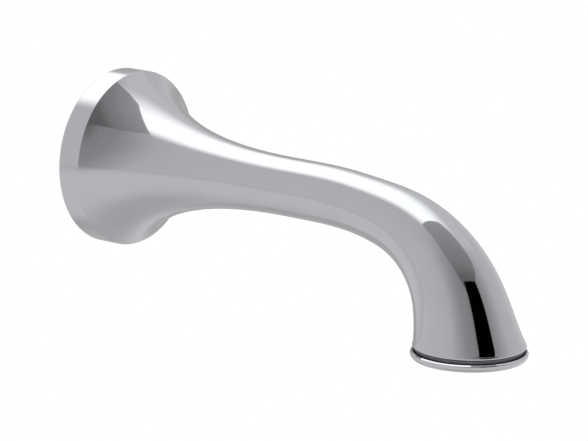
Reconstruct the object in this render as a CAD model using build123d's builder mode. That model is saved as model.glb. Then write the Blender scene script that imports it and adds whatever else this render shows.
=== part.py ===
"""A bath spout cast in one piece, hollow from its threaded inlet to its open outlet.

Millimetres. The origin is the centre of the wall flange's back face, on the wall. The spout reaches out
along -Y, +Z is up, and the two sides of the plane X = 0 are alike.
"""

import os
from math import atan2, cos, radians, sin

from build123d import *

# Wall flange: a plain round rim, hollow at the back
flange_dia = 70.0
rim_depth = 10.1
rim_front_round = 0.5
rim_back_round = 0.6
flange_wall = 3.0
recess_depth = 20.0
recess_round = 2.0
recess_shares = (0.05, 0.12, 0.2, 0.3)

# Flare: a cubic curve that leaves the rim at a slope and runs into the neck
flare_length = 78.5
flare_angle = 50.0
flare_rim_handle = 22.4
flare_neck_handle = 37.3

# Neck: a straight tube that eases into the bend, and a straight end below the bend
neck_dia = 23.0
neck_length = 14.1
ease_radius = 160.0
ease_angle = 13.3
bend_radius = 45.4
bend_angle = 61.2
tail_length = 11.4
wall = 2.9

# Bell: the tube widens along the bend, gently at first and flaring at the mouth
bell_delay = 16.2
bell_neck_handle = 31.5
bell_mouth_handle = 3.1
bell_mouth_slope = 0.6
bell_dia = 43.0

# Outlet moulding: a rounded edge, an upright groove and a rounded lip that dips into it
edge_height = 0.95
edge_tuck = 0.15
groove_height = 1.6
groove_depth = 0.6
groove_slope = 0.3
lip_overhang = 0.9
lip_top_height = 0.8
lip_height = 2.1
lip_undercut = 1.2
mouth_round = 1.0

# Inlet: a boss with the tapping size of a half-inch taper pipe thread
thread_bore_dia = 18.26
thread_depth = 18.0
thread_chamfer = 0.7
throat_length = 7.0
boss_wall = 4.9
boss_setback = 0.3

# Number of cross sections along the neck and along the bell
neck_sections = 4
bell_sections = 10

# Sizes that follow from the ones above
flange_radius = flange_dia / 2
neck_radius = neck_dia / 2
neck_bore = neck_radius - wall
bell_radius = bell_dia / 2
bell_bore = bell_radius - wall
thread_radius = thread_bore_dia / 2
boss_radius = thread_radius + boss_wall
flare_end = rim_depth + flare_length
straight_run = flare_end + neck_length
bell_start = straight_run + bell_delay

# The side view, with x measured out from the wall and y measured up
side = Plane(origin=(0, 0, 0), x_dir=(0, -1, 0), z_dir=(-1, 0, 0))
inlet_axis = Axis((0, 0, 0), (0, -1, 0))

# The course of the tube's centre line, drawn flat in side-view coordinates
with BuildLine() as course:
    run = Line((0, 0), (straight_run, 0))
    ease = JernArc(run @ 1, run % 1, ease_radius, -ease_angle)
    bend = JernArc(ease @ 1, ease % 1, bend_radius, -bend_angle)
    tail = Line(bend @ 1, bend @ 1 + tail_length * (bend % 1))
course_wire = course.wire()
course_length = course_wire.length

# The bell's radius, drawn flat as a graph over the distance along the course
with BuildLine() as bell_graph:
    bell_curve = Bezier(
        (bell_start, neck_radius),
        (bell_start + bell_neck_handle, neck_radius),
        (course_length - bell_mouth_handle, bell_radius - bell_mouth_slope * bell_mouth_handle),
        (course_length, bell_radius),
    )

# Distance along the course and outside radius of each cross section
neck_step = (bell_start - flare_end) / neck_sections
neck_stations = [(flare_end + i * neck_step, neck_radius) for i in range(neck_sections)]
bell_points = [bell_curve @ (i / bell_sections) for i in range(bell_sections + 1)]
stations = neck_stations + [(point.X, point.Y) for point in bell_points]


def section_plane(distance):
    """The plane across the tube at a distance along its course, turned bit by bit until it lies level."""
    point = course_wire.position_at(distance, position_mode=PositionMode.LENGTH)
    tangent = course_wire.tangent_at(distance, position_mode=PositionMode.LENGTH)
    share = max(distance - straight_run, 0) / (course_length - straight_run)
    fall = atan2(-tangent.Y, tangent.X) + share**2 * radians(90 - ease_angle - bend_angle)
    upward = Vector(0, -sin(fall), cos(fall))
    outward = Vector(0, -cos(fall), -sin(fall))
    return Plane(origin=(0, -point.X, point.Y), x_dir=upward, z_dir=outward)


# The outlet's side view, with x measured out from its upright axis and y measured up from the bell's end
outlet_centre = section_plane(course_length).origin
outlet = Plane(origin=outlet_centre, x_dir=(0, -1, 0), z_dir=(-1, 0, 0))
outlet_axis = Axis(outlet_centre, (0, 0, 1))

with BuildPart() as spout_body:
    # Flange and flare, turned about the inlet's axis
    with BuildSketch(side):
        with BuildLine():
            back = Line((0, 0), (0, flange_radius))
            rim = Line(back @ 1, (rim_depth, flange_radius))
            flare_out = flare_rim_handle * cos(radians(flare_angle))
            flare_in = flare_rim_handle * sin(radians(flare_angle))
            flare = Bezier(
                rim @ 1,
                (rim_depth + flare_out, flange_radius - flare_in),
                (flare_end - flare_neck_handle, neck_radius),
                (flare_end, neck_radius),
            )
            Polyline(flare @ 1, (flare_end, 0), back @ 0)
        make_face()
    revolve(axis=inlet_axis)
    rim_edges = spout_body.edges().filter_by(GeomType.CIRCLE).sort_by(SortBy.RADIUS)[-2:].sort_by(Axis.Y)
    fillet(rim_edges[0], radius=rim_front_round)
    fillet(rim_edges[-1], radius=rim_back_round)

    # Neck, bend and bell
    for distance, radius in stations:
        with BuildSketch(section_plane(distance)):
            Circle(radius)
    loft()

    # Hollow back of the flange, one wall inside the flare, round the inlet boss
    inner_flare = [flare @ t + flange_wall * (flare % t).rotate(Axis.Z, -90) for t in recess_shares]
    with BuildSketch(side):
        with BuildLine():
            shoulder = (rim_depth - flange_wall, flange_radius - flange_wall)
            inner_rim = Polyline((0, boss_radius), (0, flange_radius - flange_wall), shoulder)
            inner_curve = Spline(shoulder, *inner_flare)
            Polyline(inner_curve @ 1, ((inner_curve @ 1).X, boss_radius), inner_rim @ 0)
        make_face()
        with Locations((recess_depth / 2, flange_radius / 2)):
            Rectangle(recess_depth, flange_radius, mode=Mode.INTERSECT)
    revolve(axis=inlet_axis, mode=Mode.SUBTRACT)
    round_edges = spout_body.edges().filter_by(GeomType.CIRCLE)
    fillet(round_edges.filter_by_position(Axis.Y, -recess_depth, -recess_depth), radius=recess_round)

    # Threaded inlet and the throat that narrows to the neck's bore
    thread_end = boss_setback + thread_depth
    with BuildSketch(side):
        with BuildLine():
            Polyline(
                (0, 0),
                (0, boss_radius),
                (boss_setback, boss_radius),
                (boss_setback, thread_radius + thread_chamfer),
                (boss_setback + thread_chamfer, thread_radius),
                (thread_end, thread_radius),
                (thread_end + throat_length, neck_bore),
                (flare_end, neck_bore),
                (flare_end, 0),
                close=True,
            )
        make_face()
    revolve(axis=inlet_axis, mode=Mode.SUBTRACT)

    # Waterway through the bend and the bell
    for distance, radius in stations:
        with BuildSketch(section_plane(distance)):
            Circle(radius - wall)
    loft(mode=Mode.SUBTRACT)

    # Outlet moulding, turned about the outlet's axis
    with BuildSketch(outlet):
        with BuildLine():
            seat = Line((bell_bore, 0), (bell_radius, 0))
            edge_foot = (bell_radius - edge_tuck, -edge_height)
            edge = TangentArc(seat @ 1, edge_foot, tangent=(bell_mouth_slope, -1))
            groove_radius = bell_radius - edge_tuck - groove_depth
            lip_crest = (bell_radius + lip_overhang, -edge_height - groove_height - lip_top_height)
            groove_top = (groove_radius, -edge_height - groove_slope)
            groove = Polyline(edge @ 1, groove_top, (groove_radius, lip_crest[1]))
            lip_top = TangentArc(lip_crest, groove @ 1, tangent=(0, 1))
            lip_foot = (bell_radius + lip_overhang - lip_undercut, lip_crest[1] - lip_height)
            lip_side = TangentArc(lip_crest, lip_foot, tangent=(0, -1))
            Polyline(lip_side @ 1, (bell_bore, lip_foot[1]), seat @ 0)
        make_face()
    revolve(axis=outlet_axis)
    mouth_edges = spout_body.edges().group_by(Axis.Z)[0].sort_by(SortBy.RADIUS)
    fillet(mouth_edges[0], radius=mouth_round)

os.makedirs("parts", exist_ok=True)
spout_body.part.label = "spout_body"
export_step(spout_body.part, "parts/spout_body.step")
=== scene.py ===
"""Looks of a wall-mounted bath spout, plated in chrome, in a plain studio.

Metres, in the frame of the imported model: the origin is the centre of the flange's back, on the wall.
The spout reaches out along -Y and +Z is up. The casting is one closed profile, drawn over the distance
along the tube's course, and carried along that course as rings.
"""

from math import cos, pi, radians, sin, tan

import bmesh
import bpy
import numpy as np
from bpy.props import FloatProperty, FloatVectorProperty, IntProperty, PointerProperty
from mathutils import Matrix, Vector


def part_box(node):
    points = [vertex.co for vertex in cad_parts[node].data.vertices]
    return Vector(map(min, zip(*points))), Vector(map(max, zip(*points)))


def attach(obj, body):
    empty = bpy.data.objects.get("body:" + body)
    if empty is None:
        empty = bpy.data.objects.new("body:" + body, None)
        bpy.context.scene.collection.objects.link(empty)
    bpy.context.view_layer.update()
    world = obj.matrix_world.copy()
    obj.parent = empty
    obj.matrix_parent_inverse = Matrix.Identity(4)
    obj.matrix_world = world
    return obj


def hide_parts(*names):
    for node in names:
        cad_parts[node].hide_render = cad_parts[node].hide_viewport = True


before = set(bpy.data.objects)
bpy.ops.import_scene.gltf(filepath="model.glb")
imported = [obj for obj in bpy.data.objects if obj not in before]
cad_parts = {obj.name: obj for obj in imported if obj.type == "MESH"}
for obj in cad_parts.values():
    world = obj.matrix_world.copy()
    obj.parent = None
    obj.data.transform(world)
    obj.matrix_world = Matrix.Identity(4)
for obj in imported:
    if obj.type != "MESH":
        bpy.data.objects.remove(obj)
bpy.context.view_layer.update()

bl_info = {
    "name": "Bath Spout",
    "version": (1, 0, 0),
    "blender": (4, 5, 0),
    "location": "View3D > Sidebar > Bath Spout",
    "description": "Builds a chrome-plated bath spout on its CAD frame, and a plain studio round it",
    "category": "Add Mesh",
}

MM = 0.001
NODE = "spout_body"
NODE_LOW, NODE_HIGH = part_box(NODE)
IMAGE_WIDTH = 588

# Finishes of the casting, in the order of its material slots
PLATED, CAST, TAPPED, PAINTED_GROOVE = range(4)

# Edges that turn by more than this many degrees stay crisp
SHARP_ANGLE = 32.0

# Steps of the profile along its long curves, and along each turn of the thread
FLARE_STEPS = 100
NECK_STEPS = 34
BELL_STEPS = 150
WATERWAY_STEPS = 70
STEPS_PER_TURN = 12

# Greys of the stage along a ramp, each as a share of the way and a level
PANEL_TONES = ((0, 0.19), (0.26, 0.21), (0.48, 0.33), (0.63, 0.365), (0.85, 0.45), (1, 0.52))
TENT_TONES = (
    (0, 0.2), (0.04, 0.28), (0.08, 0.37), (0.17, 0.42),
    (0.25, 0.56), (0.33, 0.71), (0.42, 0.75), (0.72, 0.8),
)
# Painted light and shade of the floor as metal sees it: darker under the spout, where its shadow would
# fall, paler further out, and darker again far out
FLOOR_PAINTED_LIGHT_AND_SHADE = ((0, 0.62), (0.055, 0.66), (0.1, 0.78), (0.145, 0.84), (0.39, 0.86), (0.9, 0.72))

# Flat cloths overhead as seen from above, in metres along X and Y
SOFTBOX_FRONT = ((-1.2, -0.08), (0.55, -0.44), (0.78, -0.8), (0.96, -1.45), (2.6, -1.45))
SOFTBOX_BACK = ((4.0, 3.2), (-1.2, 3.2))
PALE_OUTLINE = ((0.3, -0.3), (0.96, -1.7), (2.8, -1.7), (4.2, 2.8), (0.3, 2.8))
GREY_RIGHT = (
    (-0.82, -0.16), (0.62, -0.455), (0.84, -0.8), (1.01, -1.45),
    (1.03, -1.8), (0.89, -2.12), (0.3, -2.6),
)
GREY_LEFT = ((0.1, -3.8), (-1.55, -3.8), (-1.46, -1.9), (-1.37, -1.13), (-1.09, -0.54), (-0.94, -0.3))

# Soft edges of the cloths: the way in from an edge, and how far along it the cloth is gone and is full
SOFTBOX_EDGES = (
    ((1.0, -0.15, 0.0), -1.06, -0.31),
    ((-1.0, 0.65, 0.0), -1.8, -0.3),
)
PALE_EDGES = (
    ((0.0, 1.0, 0.0), -1.6, -0.9),
    ((-1.0, 0.0, 0.0), -3.8, -2.4),
    ((0.0, -1.0, 0.0), -2.8, -1.4),
)

# Levels of the two lit cloths, and how far the panels hang above and below the softbox
SOFTBOX_LEVEL = 1.9
PALE_LEVEL = 0.86
PALE_LIFT = 0.01
GREY_DROP = 0.002

# The black card as seen from the front, in metres along X and Z
VELVET_OUTLINE = ((-0.196, 0.0), (0.022, 0.0), (0.03, 0.249), (-0.198, 0.305))

# Grey cards behind: name, turn, drop, distance, level, and the angles where each is gone and is full
BACK_CARDS = (
    ("back_card", 135.0, 10.0, 0.8, 0.5, 40.0, 18.0),
    # This low card is a grey sheet that stands in for the shade on the floor below and behind the spout
    ("floor_shade_card", 160.0, 42.0, 0.7, 0.6, 25.0, 8.0),
    ("edge_card", 128.6, 13.3, 0.5, 0.3, 11.0, 3.0),
)

# How far out the floor begins to turn white for the eye, and where it is all white
WHITE_START = 1.2
WHITE_END = 2.4


def size(name, default, description):
    """A length that a user may change, given in metres."""
    return FloatProperty(name=name, description=description, default=default, unit="LENGTH", precision=5)


def angle(name, default, description):
    """An angle that a user may change, given in degrees."""
    return FloatProperty(name=name, description=description, default=radians(default), subtype="ANGLE")


def linear(hex_colour):
    """The linear colour of an sRGB hex value."""
    shares = [int(hex_colour[i:i + 2], 16) / 255 for i in (1, 3, 5)]
    return tuple(c / 12.92 if c <= 0.04045 else ((c + 0.055) / 1.055) ** 2.4 for c in shares)


def colour(name, default, description):
    """A colour that a user may change, given as an sRGB hex value."""
    return FloatVectorProperty(name=name, description=description, default=linear(default), subtype="COLOR")


class SpoutSizes(bpy.types.PropertyGroup):
    """Driving sizes of the casting"""

    flange_dia: size("Flange diameter", NODE_HIGH.x - NODE_LOW.x, "Outside of the wall flange")
    rim_depth: size("Rim depth", 10.1 * MM, "Depth of the flange's rim")
    rim_front_round: size("Rim front round", 0.5 * MM, "Rounding between the rim and the flare")
    rim_back_round: size("Rim back round", 0.6 * MM, "Rounding of the rim's edge at the wall")
    flange_wall: size("Flange wall", 3.0 * MM, "Wall of the flange round its hollow back")
    recess_depth: size("Recess depth", 20.0 * MM, "Depth of the flange's hollow back")
    recess_round: size("Recess round", 2.0 * MM, "Rounding of the hollow back's floor")
    flare_length: size("Flare length", 78.5 * MM, "From the rim's front to the plain neck")
    flare_angle: angle("Flare angle", 50.0, "Slope at which the flare leaves the rim")
    flare_rim_handle: size("Flare rim handle", 22.4 * MM, "Pull of the flare's curve at the rim")
    flare_neck_handle: size("Flare neck handle", 37.3 * MM, "Pull of the flare's curve at the neck")
    neck_dia: size("Neck diameter", 23.0 * MM, "Outside of the plain neck")
    neck_length: size("Neck length", 14.1 * MM, "Straight tube before the bend")
    ease_radius: size("Ease radius", 160.0 * MM, "Wide bend that eases into the main one")
    ease_angle: angle("Ease angle", 13.3, "Turn of the wide bend")
    bend_radius: size("Bend radius", 45.4 * MM, "Main bend of the tube")
    bend_angle: angle("Bend angle", 61.2, "Turn of the main bend")
    tail_length: size("Tail length", 11.4 * MM, "Straight end of the tube below the bend")
    bend_blend: size("Bend blend", 14.0 * MM, "Length over which one bend runs into the next")
    wall: size("Wall", 2.9 * MM, "Wall of the tube")
    bell_delay: size("Bell delay", 16.2 * MM, "From the start of the bends to the start of the bell")
    bell_neck_handle: size("Bell neck handle", 31.5 * MM, "Pull of the bell's curve at the neck")
    bell_mouth_handle: size("Bell mouth handle", 3.1 * MM, "Pull of the bell's curve at the mouth")
    bell_mouth_slope: FloatProperty(
        name="Bell mouth slope", description="Flare of the bell at the mouth", default=0.6
    )
    bell_dia: size("Bell diameter", 43.0 * MM, "Outside of the bell at its end")
    edge_height: size("Edge height", 0.95 * MM, "Rounded edge under the bell")
    edge_tuck: size("Edge tuck", 0.15 * MM, "How far the edge's foot draws in")
    groove_height: size("Groove height", 1.6 * MM, "Opening of the groove above the lip")
    groove_depth: size("Groove depth", 0.6 * MM, "Depth of the groove above the lip")
    groove_slope: size("Groove slope", 0.3 * MM, "How far the groove's upper side slopes down")
    lip_overhang: size("Lip overhang", 0.9 * MM, "How far the lip stands out past the bell")
    lip_top_height: size("Lip top height", 0.8 * MM, "From the groove to the lip's widest line")
    lip_height: size("Lip height", 2.1 * MM, "From the lip's widest line to its underside")
    lip_undercut: size("Lip undercut", 1.2 * MM, "How far the lip's underside draws in")
    lip_flat_start: angle("Lip flat start", 16.0, "Where the buffed flat on the lip's top begins")
    lip_flat_end: angle("Lip flat end", 62.0, "Where the buffed flat on the lip's top ends")
    mouth_round: size("Mouth round", 1.0 * MM, "Rounding of the mouth's inner edge")
    thread_dia: size("Thread diameter", 18.26 * MM, "Crest of the inlet's female thread")
    thread_depth: size("Thread depth", 18.0 * MM, "Length of the threaded bore")
    thread_pitch: size("Thread pitch", 25.4 / 14 * MM, "Fourteen turns to the inch")
    thread_cut: size("Thread cut", 1.1 * MM, "Depth of the thread's turns")
    thread_chamfer: size("Thread chamfer", 0.7 * MM, "Chamfer at the thread's start")
    throat_length: size("Throat length", 7.0 * MM, "Cone from the thread to the waterway")
    boss_wall: size("Boss wall", 4.9 * MM, "Wall of the inlet boss")
    boss_setback: size("Boss setback", 0.3 * MM, "How far the boss stands back from the wall")
    ring_vertices: IntProperty(
        name="Ring vertices", description="Corners of each ring", default=128, min=16
    )


class SpoutFinishes(bpy.types.PropertyGroup):
    """Colours of the plated and the bare metal"""

    chrome: colour("Chrome", "#c4c5c8", "Bright chrome plate")
    chrome_shade: colour("Chrome shade", "#bcbec2", "Chrome plate where the polish is a little thinner")
    # Both groove colours are painted shade: the plate is darkened to stand in for the shade that fills the
    # narrow groove
    painted_shade_chrome: colour("Groove chrome", "#6e6f72", "Dull chrome plate in the outlet's groove")
    deep_painted_shade_chrome: colour("Groove chrome shade", "#5c5d60", "Thinnest plate in the outlet's groove")
    cast_brass: colour("Cast brass", "#a98c58", "Sand-cast brass inside the waterway")
    cast_brass_dark: colour("Cast brass shade", "#7d6540", "Hollows of the cast grain")
    cut_brass: colour("Cut brass", "#d2b36c", "Brass that was cut with a tap")


class StudioSettings(bpy.types.PropertyGroup):
    """Camera and light of the plain studio"""

    camera_turn: angle("Camera turn", 51.43, "How far the camera stands round from straight in front")
    camera_rise: angle("Camera rise", 13.27, "How far the camera looks down")
    camera_roll: angle("Camera roll", 0.65, "Tilt of the camera about its own axis")
    camera_distance: size("Camera distance", 1.5752, "From the camera to the plane through the origin")
    camera_right: size("Camera right", 71.13 * MM, "Shift of the camera to its own right")
    camera_up: size("Camera up", -25.74 * MM, "Shift of the camera along its own upright")
    focal_pixels: FloatProperty(name="Focal length", description="In pixels of the picture", default=3930.3)
    floor_drop: size("Floor drop", 1.2, "From the inlet's axis down to the floor")
    floor_radius: size("Floor radius", 9.0, "Reach of the floor")
    tent_radius: size("Tent radius", 12.0, "From the spout to the tent's cloth")
    front_turn: angle("Front turn", 22.0, "How far round the darkest part of the tent's front stands")
    front_rise: angle("Front rise", 25.0, "How high the darkest part of the tent's front stands")
    ceiling_rise: size("Ceiling rise", 2.0, "From the inlet's axis up to the softbox")
    card_distance: size("Card distance", 0.5, "From the wall out to the black card in front")


def line(start, end, count):
    """Points of a straight stretch of the profile in so many steps, closer together at its two ends."""
    shares = (1 - np.cos(np.linspace(0, pi, count + 1))) / 2
    return start + (end - start) * shares


def arc(start, end, turn, count):
    """Points of a round stretch of the profile that turns by an angle, to the left if it is positive."""
    shares = np.linspace(0, 1, count + 1)
    half = turn / 2
    return start + (end - start) * np.sin(half * shares) / np.sin(half) * np.exp(1j * half * (shares - 1))


def bezier(points, shares):
    """Points of a cubic curve of the profile."""
    a, b, c, d = points
    rest = 1 - shares
    return a * rest**3 + 3 * b * rest**2 * shares + 3 * c * rest * shares**2 + d * shares**3


def bezier_slope(points, shares):
    """Direction of a cubic curve of the profile, of length one."""
    a, b, c, d = points
    rest = 1 - shares
    slope = (b - a) * rest**2 + 2 * (c - b) * rest * shares + (d - c) * shares**2
    return slope / np.abs(slope)


class Course:
    """The bent centre line of the tube, from the wall to the outlet and straight down past it."""

    step = 0.1 * MM

    def __init__(self, sizes):
        self.straight_run = sizes.rim_depth + sizes.flare_length + sizes.neck_length
        ease_end = self.straight_run + sizes.ease_radius * sizes.ease_angle
        bend_end = ease_end + sizes.bend_radius * sizes.bend_angle
        self.length = bend_end + sizes.tail_length
        turn = sizes.ease_angle + sizes.bend_angle
        self.distances = np.arange(0, self.length + self.step, self.step)
        window = int(sizes.bend_blend / self.step)
        padded = np.arange(-window, len(self.distances) + window) * self.step
        falls = np.interp(padded, [self.straight_run, ease_end, bend_end], [0, sizes.ease_angle, turn])
        smooth = np.convolve(falls, np.ones(window) / window, "same")[window:-window]
        self.out = np.concatenate([[0], np.cumsum(np.cos(smooth[:-1]) * self.step)])
        self.up = np.concatenate([[0], -np.cumsum(np.sin(smooth[:-1]) * self.step)])
        bent = np.maximum(self.distances - self.straight_run, 0) / (self.length - self.straight_run)
        self.falls = smooth + bent**2 * (pi / 2 - turn)

    def centres(self, at):
        """How far out and how far up the course is at these distances."""
        past = np.maximum(at - self.length, 0)
        return np.interp(at, self.distances, self.out), np.interp(at, self.distances, self.up) - past

    def fall(self, at):
        """Angle by which the cross sections at these distances face down."""
        return np.interp(at, self.distances, self.falls)


def outside_profile(s, course):
    """Plated outside, from the rim's back edge round to the edge of the mouth, as distance and radius."""
    flange_radius = s.flange_dia / 2
    neck_radius = s.neck_dia / 2
    bell_radius = s.bell_dia / 2
    flare = flare_curve(s)
    reach = s.rim_front_round * np.tan(s.flare_angle / 2)
    rim_start = s.rim_back_round + 1j * flange_radius
    rim_end = s.rim_depth - reach + 1j * flange_radius
    flare_start = flare[0] + reach * np.exp(-1j * s.flare_angle)
    first_share = reach / (3 * s.flare_rim_handle)
    bell_start = course.straight_run + s.bell_delay
    bell = (
        bell_start + 1j * neck_radius,
        bell_start + s.bell_neck_handle + 1j * neck_radius,
        course.length + 1j * bell_radius - s.bell_mouth_handle * (1 + 1j * s.bell_mouth_slope),
        course.length + 1j * bell_radius,
    )
    edge_foot = bell[3] + s.edge_height - 1j * s.edge_tuck
    groove_top = edge_foot + s.groove_slope - 1j * s.groove_depth
    lip_crest = edge_foot + s.groove_height + s.lip_top_height + 1j * (s.edge_tuck + s.lip_overhang)
    groove_foot = lip_crest.real + 1j * groove_top.imag
    lip_foot = lip_crest + s.lip_height - 1j * s.lip_undercut
    mouth_radius = bell_radius - s.wall
    lip_inner = lip_foot.real + 1j * (mouth_radius + s.mouth_round)
    mouth_edge = lip_foot.real - s.mouth_round + 1j * mouth_radius
    edge_turn = 2 * (np.angle(edge_foot - bell[3]) - np.angle(1 + 1j * s.bell_mouth_slope))
    lip_middle = (groove_foot + lip_crest) / 2
    lip_radius = abs(lip_crest - lip_middle)
    flat_start = lip_middle - lip_radius * np.exp(-1j * s.lip_flat_start)
    flat_end = lip_middle - lip_radius * np.exp(-1j * s.lip_flat_end)
    body = [
        arc(1j * (flange_radius - s.rim_back_round), rim_start, -pi / 2, count=8),
        line(rim_start, rim_end, count=14),
        arc(rim_end, flare_start, -s.flare_angle, count=12),
        bezier(flare, np.linspace(first_share, 1, FLARE_STEPS)),
        np.linspace(flare[3], bell[0], NECK_STEPS),
        bezier(bell, np.linspace(0, 1, BELL_STEPS)),
        arc(bell[3], edge_foot, edge_turn, count=12),
    ]
    groove = [
        line(edge_foot, groove_top, count=4),
        line(groove_top, groove_foot, count=14),
        arc(groove_foot, flat_start, -pi / 2 - s.lip_flat_start, count=16),
    ]
    lip = [
        line(flat_start, flat_end, count=8),
        arc(flat_end, lip_crest, s.lip_flat_end - pi / 2, count=8),
        arc(lip_crest, lip_foot, 2 * np.angle(lip_foot - lip_crest), count=14),
        line(lip_foot, lip_inner, count=6),
        arc(lip_inner, mouth_edge, -pi / 2, count=8),
        line(mouth_edge, course.length + 1j * mouth_radius, count=8),
    ]
    return body, groove, lip, bell


def flare_curve(s):
    """The cubic curve of the flare, as distance and radius."""
    start = s.rim_depth + 1j * s.flange_dia / 2
    end = s.rim_depth + s.flare_length + 1j * s.neck_dia / 2
    return start, start + s.flare_rim_handle * np.exp(-1j * s.flare_angle), end - s.flare_neck_handle, end


def waterway_profile(s, bell):
    """Cast waterway, from the mouth back to the throat behind the thread."""
    inner_bell = bezier(bell, np.linspace(1, 0, WATERWAY_STEPS)) - 1j * s.wall
    neck_end = s.rim_depth + s.flare_length + 1j * inner_bell[-1].imag
    throat_end = s.boss_setback + s.thread_depth + s.throat_length + 1j * neck_end.imag
    thread_end = s.boss_setback + s.thread_depth + 1j * s.thread_dia / 2
    return [
        inner_bell,
        line(inner_bell[-1], throat_end, count=24),
        line(throat_end, thread_end, count=8),
    ]


def thread_profile(s):
    """Crest line of the inlet's thread and the chamfer at its start."""
    crest = 1j * s.thread_dia / 2
    thread_end = s.boss_setback + s.thread_depth + crest
    thread_start = s.boss_setback + s.thread_chamfer + crest
    face = s.boss_setback + crest + 1j * s.thread_chamfer
    turns = (thread_end - thread_start).real / s.thread_pitch
    return [
        np.linspace(thread_end, thread_start, int(turns * STEPS_PER_TURN)),
        np.linspace(thread_start, face, 3),
        line(face, s.boss_setback + crest + 1j * s.boss_wall, count=6),
    ]


def recess_profile(s):
    """Hollow back of the flange, from the boss round to the flange's back face."""
    boss_radius = s.thread_dia / 2 + s.boss_wall
    flare = flare_curve(s)
    # The stretch of the flare's curve over the hollow, drawn finely to find where its ends are cut
    shares = np.linspace(0.02, 0.6, 200)
    inner = bezier(flare, shares) - 1j * s.flange_wall * bezier_slope(flare, shares)
    inner = inner[inner.real < s.recess_depth][::-1]
    floor_end = s.recess_depth + 1j * (inner[0].imag - s.recess_round)
    side_start = inner[np.argmax(inner.real < s.recess_depth - s.recess_round)]
    inner = inner[inner.real < side_start.real]
    shoulder = s.rim_depth - s.flange_wall + 1j * (s.flange_dia / 2 - s.flange_wall)
    inner = inner[inner.imag < shoulder.imag]
    floor_start = s.recess_depth + 1j * (boss_radius + s.recess_round)
    boss_foot = s.recess_depth - s.recess_round + 1j * boss_radius
    return [
        line(s.boss_setback + 1j * boss_radius, boss_foot, count=10),
        arc(boss_foot, floor_start, pi / 2, count=6),
        line(floor_start, floor_end, count=5),
        arc(floor_end, side_start, pi / 2, count=6),
        inner[::4],
        line(shoulder, 1j * shoulder.imag, count=8),
        line(1j * shoulder.imag, 1j * (s.flange_dia / 2 - s.rim_back_round), count=5),
    ]


def thread_radius(s, at, radius, around):
    """Radius of the thread's rings, with V-shaped turns that run out at the inner end."""
    crest_share = 0.12
    flank_share = 0.76
    fading_turns = 2.5
    turn = (at[:, None] / s.thread_pitch - around[None, :] / (2 * pi)) % 1
    groove = np.clip((np.abs(2 * turn - 1) - crest_share) / flank_share, 0, 1)
    end = s.boss_setback + s.thread_depth
    run_out = np.clip((end - at) / (fading_turns * s.thread_pitch), 0, 1)
    start = s.boss_setback + s.thread_chamfer
    inside = (at > start - s.thread_chamfer / 2) & (at < end)
    return radius[:, None] + np.where(inside, s.thread_cut * run_out, 0)[:, None] * groove


def casting_mesh(s):
    """The closed mesh of the casting, and the finish of each band of its profile."""
    course = Course(s)
    body, groove, lip, bell = outside_profile(s, course)
    # The groove's band gets the plate with painted shade
    bands = [(PLATED, body), (PAINTED_GROOVE, groove), (PLATED, lip)]
    bands += [(CAST, waterway_profile(s, bell)), (TAPPED, thread_profile(s)), (CAST, recess_profile(s))]
    points = []
    finishes = []
    for finish, stretches in bands:
        for stretch in stretches:
            points.append(stretch[:-1])
            finishes += [finish] * (len(stretch) - 1)
    profile = np.concatenate(points)
    around = np.linspace(0, 2 * pi, s.ring_vertices, endpoint=False)
    at = profile.real
    radius = np.repeat(profile.imag[:, None], len(around), 1)
    cut = np.array(finishes) == TAPPED
    radius[cut] = thread_radius(s, at[cut], profile.imag[cut], around)
    out, up = course.centres(at)
    fall = course.fall(at)
    raised = radius * np.cos(around)
    rings = np.empty((len(profile), len(around), 3))
    rings[..., 0] = radius * np.sin(around)
    rings[..., 1] = -out[:, None] - raised * np.sin(fall)[:, None]
    rings[..., 2] = up[:, None] + raised * np.cos(fall)[:, None]
    index = np.arange(len(profile) * len(around)).reshape(len(profile), len(around))
    nearer = np.roll(index, -1, axis=1)
    further = np.roll(index, -1, axis=0)
    faces = np.stack([index, nearer, np.roll(nearer, -1, axis=0), further], axis=-1)
    mesh = bpy.data.meshes.new("spout_casting")
    mesh.from_pydata(rings.reshape(-1, 3).tolist(), [], faces.reshape(-1, 4).tolist())
    mesh.polygons.foreach_set("material_index", np.repeat(finishes, len(around)).astype(np.int32))
    mesh.shade_smooth()
    mesh.set_sharp_from_angle(angle=radians(SHARP_ANGLE))
    return mesh


def add_node(tree, kind, inputs=None, **settings):
    """Adds a node with these settings, and fills its inputs with values or with other nodes' outputs."""
    made = tree.nodes.new(kind)
    for name, value in settings.items():
        setattr(made, name, value)
    for socket, value in (inputs or {}).items():
        if isinstance(value, bpy.types.NodeSocket):
            tree.links.new(value, made.inputs[socket])
        else:
            made.inputs[socket].default_value = value
    return made


def new_material(name):
    """An empty node material."""
    material = bpy.data.materials.new(name)
    material.use_nodes = True
    material.node_tree.nodes.clear()
    return material, material.node_tree


def polished_chrome(finishes):
    """Bright chrome plate on a buffed casting: a mirror, with faint clouds in its gloss from buffing."""
    material, tree = new_material("polished_chrome_plate")
    place = add_node(tree, "ShaderNodeTexCoord").outputs["Object"]
    # Clouds of about 14 mm, the width of a buffing wheel's touch
    clouds = add_node(tree, "ShaderNodeTexNoise", {"Vector": place, "Scale": 1 / (14 * MM), "Detail": 2.0})
    tone = add_node(
        tree,
        "ShaderNodeMix",
        {"Factor": clouds.outputs["Fac"], "A": (*finishes.chrome, 1), "B": (*finishes.chrome_shade, 1)},
        data_type="RGBA",
    )
    gloss = add_node(
        tree,
        "ShaderNodeMapRange",
        {"Value": clouds.outputs["Fac"], "To Min": 0.03, "To Max": 0.06},
    )
    shader = add_node(
        tree,
        "ShaderNodeBsdfPrincipled",
        {"Base Color": tone.outputs["Result"], "Metallic": 1.0, "Roughness": gloss.outputs["Result"]},
    )
    add_node(tree, "ShaderNodeOutputMaterial", {"Surface": shader.outputs["BSDF"]})
    return material


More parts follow.
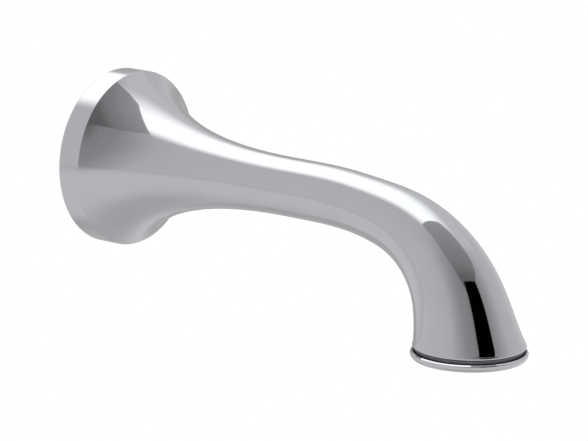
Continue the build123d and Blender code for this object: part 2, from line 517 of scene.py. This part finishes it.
def groove_plate_with_painted_shade(finishes):
    """Dull chrome plate in the narrow groove, darkened to paint the shade that fills the groove."""
    material, tree = new_material("groove_plate_painted_shade")
    place = add_node(tree, "ShaderNodeTexCoord").outputs["Object"]
    # Patches of about 3 mm
    patches = add_node(tree, "ShaderNodeTexNoise", {"Vector": place, "Scale": 1 / (3 * MM), "Detail": 2.0})
    # Painted shade: both colours stand in for the shade in the groove, and the patches only vary it at
    # random
    tone = add_node(
        tree,
        "ShaderNodeMix",
        {
            "Factor": patches.outputs["Fac"],
            "A": (*finishes.painted_shade_chrome, 1),
            "B": (*finishes.deep_painted_shade_chrome, 1),
        },
        data_type="RGBA",
    )
    shader = add_node(
        tree,
        "ShaderNodeBsdfPrincipled",
        {"Base Color": tone.outputs["Result"], "Metallic": 1.0, "Roughness": 0.3},
    )
    add_node(tree, "ShaderNodeOutputMaterial", {"Surface": shader.outputs["BSDF"]})
    return material


def cast_brass(finishes):
    """Sand-cast brass left as it came from the mould: dull, with the grain of the sand."""
    material, tree = new_material("sand_cast_brass")
    place = add_node(tree, "ShaderNodeTexCoord").outputs["Object"]
    # Sand grains of about 0.5 mm
    grain = add_node(tree, "ShaderNodeTexNoise", {"Vector": place, "Scale": 1 / (0.5 * MM), "Detail": 3.0})
    tone = add_node(
        tree,
        "ShaderNodeMix",
        {
            "Factor": grain.outputs["Fac"],
            "A": (*finishes.cast_brass_dark, 1),
            "B": (*finishes.cast_brass, 1),
        },
        data_type="RGBA",
    )
    bump = add_node(
        tree,
        "ShaderNodeBump",
        {"Height": grain.outputs["Fac"], "Strength": 0.5, "Distance": 0.2 * MM},
    )
    shader = add_node(
        tree,
        "ShaderNodeBsdfPrincipled",
        {
            "Base Color": tone.outputs["Result"],
            "Metallic": 1.0,
            "Roughness": 0.5,
            "Normal": bump.outputs["Normal"],
        },
    )
    add_node(tree, "ShaderNodeOutputMaterial", {"Surface": shader.outputs["BSDF"]})
    return material


def cut_brass(finishes):
    """Brass cut by a tap: bright yellow metal with fine tool marks."""
    material, tree = new_material("tapped_brass")
    place = add_node(tree, "ShaderNodeTexCoord").outputs["Object"]
    # Tool marks of about 0.3 mm
    marks = add_node(tree, "ShaderNodeTexNoise", {"Vector": place, "Scale": 1 / (0.3 * MM), "Detail": 1.0})
    gloss = add_node(
        tree,
        "ShaderNodeMapRange",
        {"Value": marks.outputs["Fac"], "To Min": 0.2, "To Max": 0.38},
    )
    shader = add_node(
        tree,
        "ShaderNodeBsdfPrincipled",
        {
            "Base Color": (*finishes.cut_brass, 1),
            "Metallic": 1.0,
            "Roughness": gloss.outputs["Result"],
        },
    )
    add_node(tree, "ShaderNodeOutputMaterial", {"Surface": shader.outputs["BSDF"]})
    return material


class BATHSPOUT_OT_casting(bpy.types.Operator):
    """Build the plated casting in place of its CAD solid"""

    bl_idname = "bathspout.casting"
    bl_label = "Spout casting"

    def execute(self, context):
        finishes = context.scene.bath_spout_finishes
        mesh = casting_mesh(context.scene.bath_spout_sizes)
        for finish in (polished_chrome, cast_brass, cut_brass, groove_plate_with_painted_shade):
            mesh.materials.append(finish(finishes))
        casting = bpy.data.objects.new("spout_casting", mesh)
        context.scene.collection.objects.link(casting)
        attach(casting, "root")
        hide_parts(NODE)
        return {"FINISHED"}


class BATHSPOUT_OT_stage(bpy.types.Operator):
    """Set up the floor, the light and the camera"""

    bl_idname = "bathspout.stage"
    bl_label = "Studio"

    def execute(self, context):
        scene = context.scene
        studio = scene.bath_spout_studio
        add_camera(scene, studio)
        add_world(scene)
        add_studio(scene, studio)
        scene.view_settings.view_transform = "Standard"
        return {"FINISHED"}


def add_camera(scene, studio):
    """The camera, at the angle from which the spout is shown."""
    turn = studio.camera_turn
    rise = studio.camera_rise
    back = Vector((-cos(rise) * sin(turn), -cos(rise) * cos(turn), sin(rise)))
    right = Vector((cos(turn), -sin(turn), 0))
    up = back.cross(right)
    place = back * studio.camera_distance + right * studio.camera_right + up * studio.camera_up
    tilted_right = right * cos(studio.camera_roll) + up * sin(studio.camera_roll)
    tilted_up = up * cos(studio.camera_roll) - right * sin(studio.camera_roll)
    data = bpy.data.cameras.new("camera")
    data.sensor_fit = "HORIZONTAL"
    data.lens = data.sensor_width * studio.focal_pixels / IMAGE_WIDTH
    camera = bpy.data.objects.new("camera", data)
    turned = Matrix((tilted_right, tilted_up, back)).transposed()
    camera.matrix_world = Matrix.Translation(place) @ turned.to_4x4()
    scene.collection.objects.link(camera)
    scene.camera = camera


def fill_stops(ramp, stops):
    """Sets the greys of a colour ramp."""
    elements = ramp.elements
    elements.remove(elements[1])
    elements[0].position = stops[0][0]
    elements[0].color = (*[stops[0][1]] * 3, 1)
    for at, level in stops[1:]:
        elements.new(at).color = (level, level, level, 1)


def thinned_glow(tree, level, cover):
    """Surface that glows at a level where it is covered and is clear where it isn't."""
    light = add_node(tree, "ShaderNodeEmission", {"Strength": level})
    clear = add_node(tree, "ShaderNodeBsdfTransparent")
    surface = add_node(
        tree,
        "ShaderNodeMixShader",
        {"Fac": cover, 1: clear.outputs["BSDF"], 2: light.outputs["Emission"]},
    )
    return surface.outputs["Shader"]


def soft_cloth_material(name, level, edges):
    """Lit cloth that thins out towards its soft edges."""
    material, tree = new_material(name)
    place = add_node(tree, "ShaderNodeTexCoord").outputs["Object"]
    cover = 1.0
    for inward, gone, full in edges:
        along = add_node(tree, "ShaderNodeVectorMath", {0: place, 1: inward}, operation="DOT_PRODUCT")
        share = add_node(
            tree,
            "ShaderNodeMapRange",
            {"Value": along.outputs["Value"], "From Min": gone, "From Max": full},
            interpolation_type="SMOOTHSTEP",
        )
        both = {0: share.outputs["Result"], 1: cover}
        cover = add_node(tree, "ShaderNodeMath", both, operation="MULTIPLY").outputs["Value"]
    add_node(tree, "ShaderNodeOutputMaterial", {"Surface": thinned_glow(tree, level, cover)})
    return material


def grey_panel_material():
    """Unlit grey ceiling panel, which gets paler towards the softbox."""
    material, tree = new_material("grey_panel")
    place = add_node(tree, "ShaderNodeTexCoord").outputs["Object"]
    to_softbox = (0.35, 1.0, 0.0)
    along = add_node(tree, "ShaderNodeVectorMath", {0: place, 1: to_softbox}, operation="DOT_PRODUCT")
    share = add_node(
        tree,
        "ShaderNodeMapRange",
        {"Value": along.outputs["Value"], "From Min": -3.0, "From Max": -0.3},
    )
    tone = add_node(tree, "ShaderNodeValToRGB", {"Fac": share.outputs["Result"]})
    fill_stops(tone.color_ramp, PANEL_TONES)
    light = add_node(tree, "ShaderNodeEmission", {"Color": tone.outputs["Color"]})
    add_node(tree, "ShaderNodeOutputMaterial", {"Surface": light.outputs["Emission"]})
    return material


def grey_card_material(level, gone, full):
    """Round grey card behind the spout with a soft edge, which darkens the polished outline."""
    material, tree = new_material("grey_card")
    place = add_node(tree, "ShaderNodeTexCoord").outputs["Object"]
    reach = add_node(tree, "ShaderNodeVectorMath", {0: place}, operation="LENGTH").outputs["Value"]
    cover = add_node(
        tree,
        "ShaderNodeMapRange",
        {"Value": reach, "From Min": gone, "From Max": full},
        interpolation_type="SMOOTHSTEP",
    )
    glow = thinned_glow(tree, level, cover.outputs["Result"])
    add_node(tree, "ShaderNodeOutputMaterial", {"Surface": glow})
    return material


def black_card_material():
    """Black velvet card."""
    material, tree = new_material("black_velvet")
    light = add_node(tree, "ShaderNodeEmission", {"Strength": 0.0})
    add_node(tree, "ShaderNodeOutputMaterial", {"Surface": light.outputs["Emission"]})
    return material


def tent_material(front):
    """White cloth of a light tent, which falls off to grey towards the unlit front."""
    material, tree = new_material("tent_cloth")
    place = add_node(tree, "ShaderNodeTexCoord").outputs["Object"]
    outward = add_node(tree, "ShaderNodeVectorMath", {0: place}, operation="NORMALIZE").outputs["Vector"]
    facing = add_node(tree, "ShaderNodeVectorMath", {0: outward, 1: front}, operation="DOT_PRODUCT")
    away = add_node(tree, "ShaderNodeMath", {0: facing.outputs["Value"]}, operation="ARCCOSINE")
    share = add_node(tree, "ShaderNodeMapRange", {"Value": away.outputs["Value"], "From Max": pi})
    fall = add_node(tree, "ShaderNodeValToRGB", {"Fac": share.outputs["Result"]})
    fill_stops(fall.color_ramp, TENT_TONES)
    light = add_node(tree, "ShaderNodeEmission", {"Color": fall.outputs["Color"]})
    add_node(tree, "ShaderNodeOutputMaterial", {"Surface": light.outputs["Emission"]})
    return material


def floor_material(front, radius):
    """Pale matt floor, which runs out into the white surround. As metal sees it, the floor glows with
    painted light, with painted shade under the spout and darker far out in front.
    """
    material, tree = new_material("pale_matt_floor")
    place = add_node(tree, "ShaderNodeTexCoord").outputs["Object"]
    reach = add_node(tree, "ShaderNodeVectorMath", {0: place}, operation="LENGTH").outputs["Value"]
    rim = add_node(
        tree,
        "ShaderNodeMapRange",
        {"Value": reach, "From Min": WHITE_START, "From Max": WHITE_END},
        interpolation_type="SMOOTHSTEP",
    )
    matt = add_node(tree, "ShaderNodeBsdfDiffuse", {"Color": (*linear("#f0f0f0"), 1)})
    white = add_node(tree, "ShaderNodeEmission", {"Strength": 1.0})
    path = add_node(tree, "ShaderNodeLightPath").outputs
    seen = add_node(
        tree,
        "ShaderNodeMath",
        {0: rim.outputs["Result"], 1: path["Is Camera Ray"]},
        operation="MULTIPLY",
    )
    picture = add_node(
        tree,
        "ShaderNodeMixShader",
        {"Fac": seen.outputs["Value"], 1: matt.outputs["BSDF"], 2: white.outputs["Emission"]},
    )
    reflected = add_node(
        tree,
        "ShaderNodeMath",
        {0: path["Is Glossy Ray"], 1: path["Is Transmission Ray"]},
        operation="MAXIMUM",
    )
    # Painted reflection of the floor: a glow by distance from the spout, with painted shade under it where
    # its shadow would fall
    share = add_node(tree, "ShaderNodeMapRange", {"Value": reach, "From Max": radius}).outputs["Result"]
    tone = add_node(tree, "ShaderNodeValToRGB", {"Fac": share})
    fill_stops(tone.color_ramp, FLOOR_PAINTED_LIGHT_AND_SHADE)
    # Painted shade on that glow far out in front
    along = add_node(tree, "ShaderNodeVectorMath", {0: place, 1: front}, operation="DOT_PRODUCT")
    dim = add_node(
        tree,
        "ShaderNodeMapRange",
        {
            "Value": along.outputs["Value"],
            "From Min": radius / 2,
            "From Max": radius,
            "To Min": 1.0,
            "To Max": 0.72,
        },
        interpolation_type="SMOOTHSTEP",
    )
    mirrored = add_node(
        tree,
        "ShaderNodeEmission",
        {"Color": tone.outputs["Color"], "Strength": dim.outputs["Result"]},
    )
    surface = add_node(
        tree,
        "ShaderNodeMixShader",
        {"Fac": reflected.outputs["Value"], 1: picture.outputs["Shader"], 2: mirrored.outputs["Emission"]},
    )
    add_node(tree, "ShaderNodeOutputMaterial", {"Surface": surface.outputs["Shader"]})
    return material


def add_stage_piece(scene, name, mesh, material, place=None, seen=False):
    """Links a floor, tent or card that isn't part of the spout."""
    mesh.materials.append(material)
    piece = bpy.data.objects.new(name, mesh)
    if place is not None:
        piece.matrix_world = place
    piece.visible_camera = seen
    piece.visible_shadow = seen
    scene.collection.objects.link(piece)


def card_mesh(name, corners):
    """A flat card between its corners."""
    mesh = bpy.data.meshes.new(name)
    mesh.from_pydata(corners, [], [range(len(corners))])
    return mesh


def mesh_of(name, shape):
    """The mesh of a shape that is done with."""
    mesh = bpy.data.meshes.new(name)
    shape.to_mesh(mesh)
    shape.free()
    return mesh


def disc_mesh(name, radius):
    """A flat round card."""
    shape = bmesh.new()
    bmesh.ops.create_circle(shape, cap_ends=True, segments=96, radius=radius)
    return mesh_of(name, shape)


def bearing(turn, rise):
    """Unit vector at an angle round from straight in front and an angle up."""
    return Vector((sin(turn) * cos(rise), -cos(turn) * cos(rise), sin(rise)))


def add_ceiling(scene, rise):
    """A softbox overhead, a pale panel above its thin right side and an unlit panel in front of it."""
    cloth = card_mesh("softbox", [(x, y, rise) for x, y in SOFTBOX_FRONT + SOFTBOX_BACK])
    lit = soft_cloth_material("softbox_cloth", SOFTBOX_LEVEL, SOFTBOX_EDGES)
    add_stage_piece(scene, "softbox", cloth, lit)
    cloth = card_mesh("pale_panel", [(x, y, rise + PALE_LIFT) for x, y in PALE_OUTLINE])
    pale = soft_cloth_material("pale_cloth", PALE_LEVEL, PALE_EDGES)
    add_stage_piece(scene, "pale_panel", cloth, pale)
    panel = card_mesh("grey_panel", [(x, y, rise - GREY_DROP) for x, y in GREY_RIGHT + GREY_LEFT])
    add_stage_piece(scene, "grey_panel", panel, grey_panel_material())


def add_studio(scene, studio):
    """A light tent with cloths overhead, a black card in front, grey cards behind and a pale floor."""
    middle = Vector((0, (NODE_LOW.y + NODE_HIGH.y) / 2, 0))
    shape = bmesh.new()
    bmesh.ops.create_uvsphere(shape, u_segments=64, v_segments=32, radius=studio.tent_radius)
    tent = mesh_of("tent", shape)
    tent.shade_smooth()
    unlit = tent_material(bearing(-studio.front_turn, studio.front_rise))
    add_stage_piece(scene, "tent", tent, unlit, Matrix.Translation(middle))
    add_ceiling(scene, studio.ceiling_rise)
    card = card_mesh("black_card", [(x, -studio.card_distance, z) for x, z in VELVET_OUTLINE])
    add_stage_piece(scene, "black_card", card, black_card_material())
    for name, turn, drop, away, level, gone, full in BACK_CARDS:
        behind = bearing(radians(turn), -radians(drop))
        turned = behind.to_track_quat("Z", "Y").to_matrix().to_4x4()
        card = disc_mesh(name, away * tan(radians(gone)))
        grey = grey_card_material(level, away * tan(radians(gone)), away * tan(radians(full)))
        add_stage_piece(scene, name, card, grey, Matrix.Translation(middle + behind * away) @ turned)
    below = Matrix.Translation(middle - Vector((0, 0, studio.floor_drop)))
    floor = disc_mesh("floor", studio.floor_radius)
    pale = floor_material(bearing(-studio.front_turn, 0), studio.floor_radius)
    add_stage_piece(scene, "floor", floor, pale, below, seen=True)


def add_world(scene):
    """A white surround for the eye and for polished metal, and a plain grey light for the rest."""
    world = bpy.data.worlds.new("studio")
    world.use_nodes = True
    tree = world.node_tree
    tree.nodes.clear()
    path = add_node(tree, "ShaderNodeLightPath").outputs
    mirrored = add_node(
        tree,
        "ShaderNodeMath",
        {0: path["Is Camera Ray"], 1: path["Is Glossy Ray"]},
        operation="MAXIMUM",
    )
    seen = add_node(
        tree,
        "ShaderNodeMath",
        {0: mirrored.outputs["Value"], 1: path["Is Transmission Ray"]},
        operation="MAXIMUM",
    )
    level = add_node(
        tree,
        "ShaderNodeMapRange",
        {"Value": seen.outputs["Value"], "To Min": 0.7, "To Max": 1.0},
    )
    light = add_node(
        tree,
        "ShaderNodeBackground",
        {"Color": (1, 1, 1, 1), "Strength": level.outputs["Result"]},
    )
    add_node(tree, "ShaderNodeOutputWorld", {"Surface": light.outputs["Background"]})
    scene.world = world


class BATHSPOUT_PT_panel(bpy.types.Panel):
    """Lists the pieces and their sizes"""

    bl_idname = "BATHSPOUT_PT_panel"
    bl_label = "Bath Spout"
    bl_space_type = "VIEW_3D"
    bl_region_type = "UI"
    bl_category = "Bath Spout"

    def draw(self, context):
        layout = self.layout
        layout.operator(BATHSPOUT_OT_casting.bl_idname)
        layout.operator(BATHSPOUT_OT_stage.bl_idname)
        for group in ("bath_spout_sizes", "bath_spout_finishes", "bath_spout_studio"):
            settings = getattr(context.scene, group)
            box = layout.box()
            for name in settings.__annotations__:
                box.prop(settings, name)


CLASSES = (
    SpoutSizes,
    SpoutFinishes,
    StudioSettings,
    BATHSPOUT_OT_casting,
    BATHSPOUT_OT_stage,
    BATHSPOUT_PT_panel,
)


def register():
    for one in CLASSES:
        bpy.utils.register_class(one)
    bpy.types.Scene.bath_spout_sizes = PointerProperty(type=SpoutSizes)
    bpy.types.Scene.bath_spout_finishes = PointerProperty(type=SpoutFinishes)
    bpy.types.Scene.bath_spout_studio = PointerProperty(type=StudioSettings)


def unregister():
    del bpy.types.Scene.bath_spout_studio
    del bpy.types.Scene.bath_spout_finishes
    del bpy.types.Scene.bath_spout_sizes
    for one in reversed(CLASSES):
        bpy.utils.unregister_class(one)


def main():
    register()
    bpy.ops.bathspout.casting()
    bpy.ops.bathspout.stage()


if __name__ == "__main__":
    main()
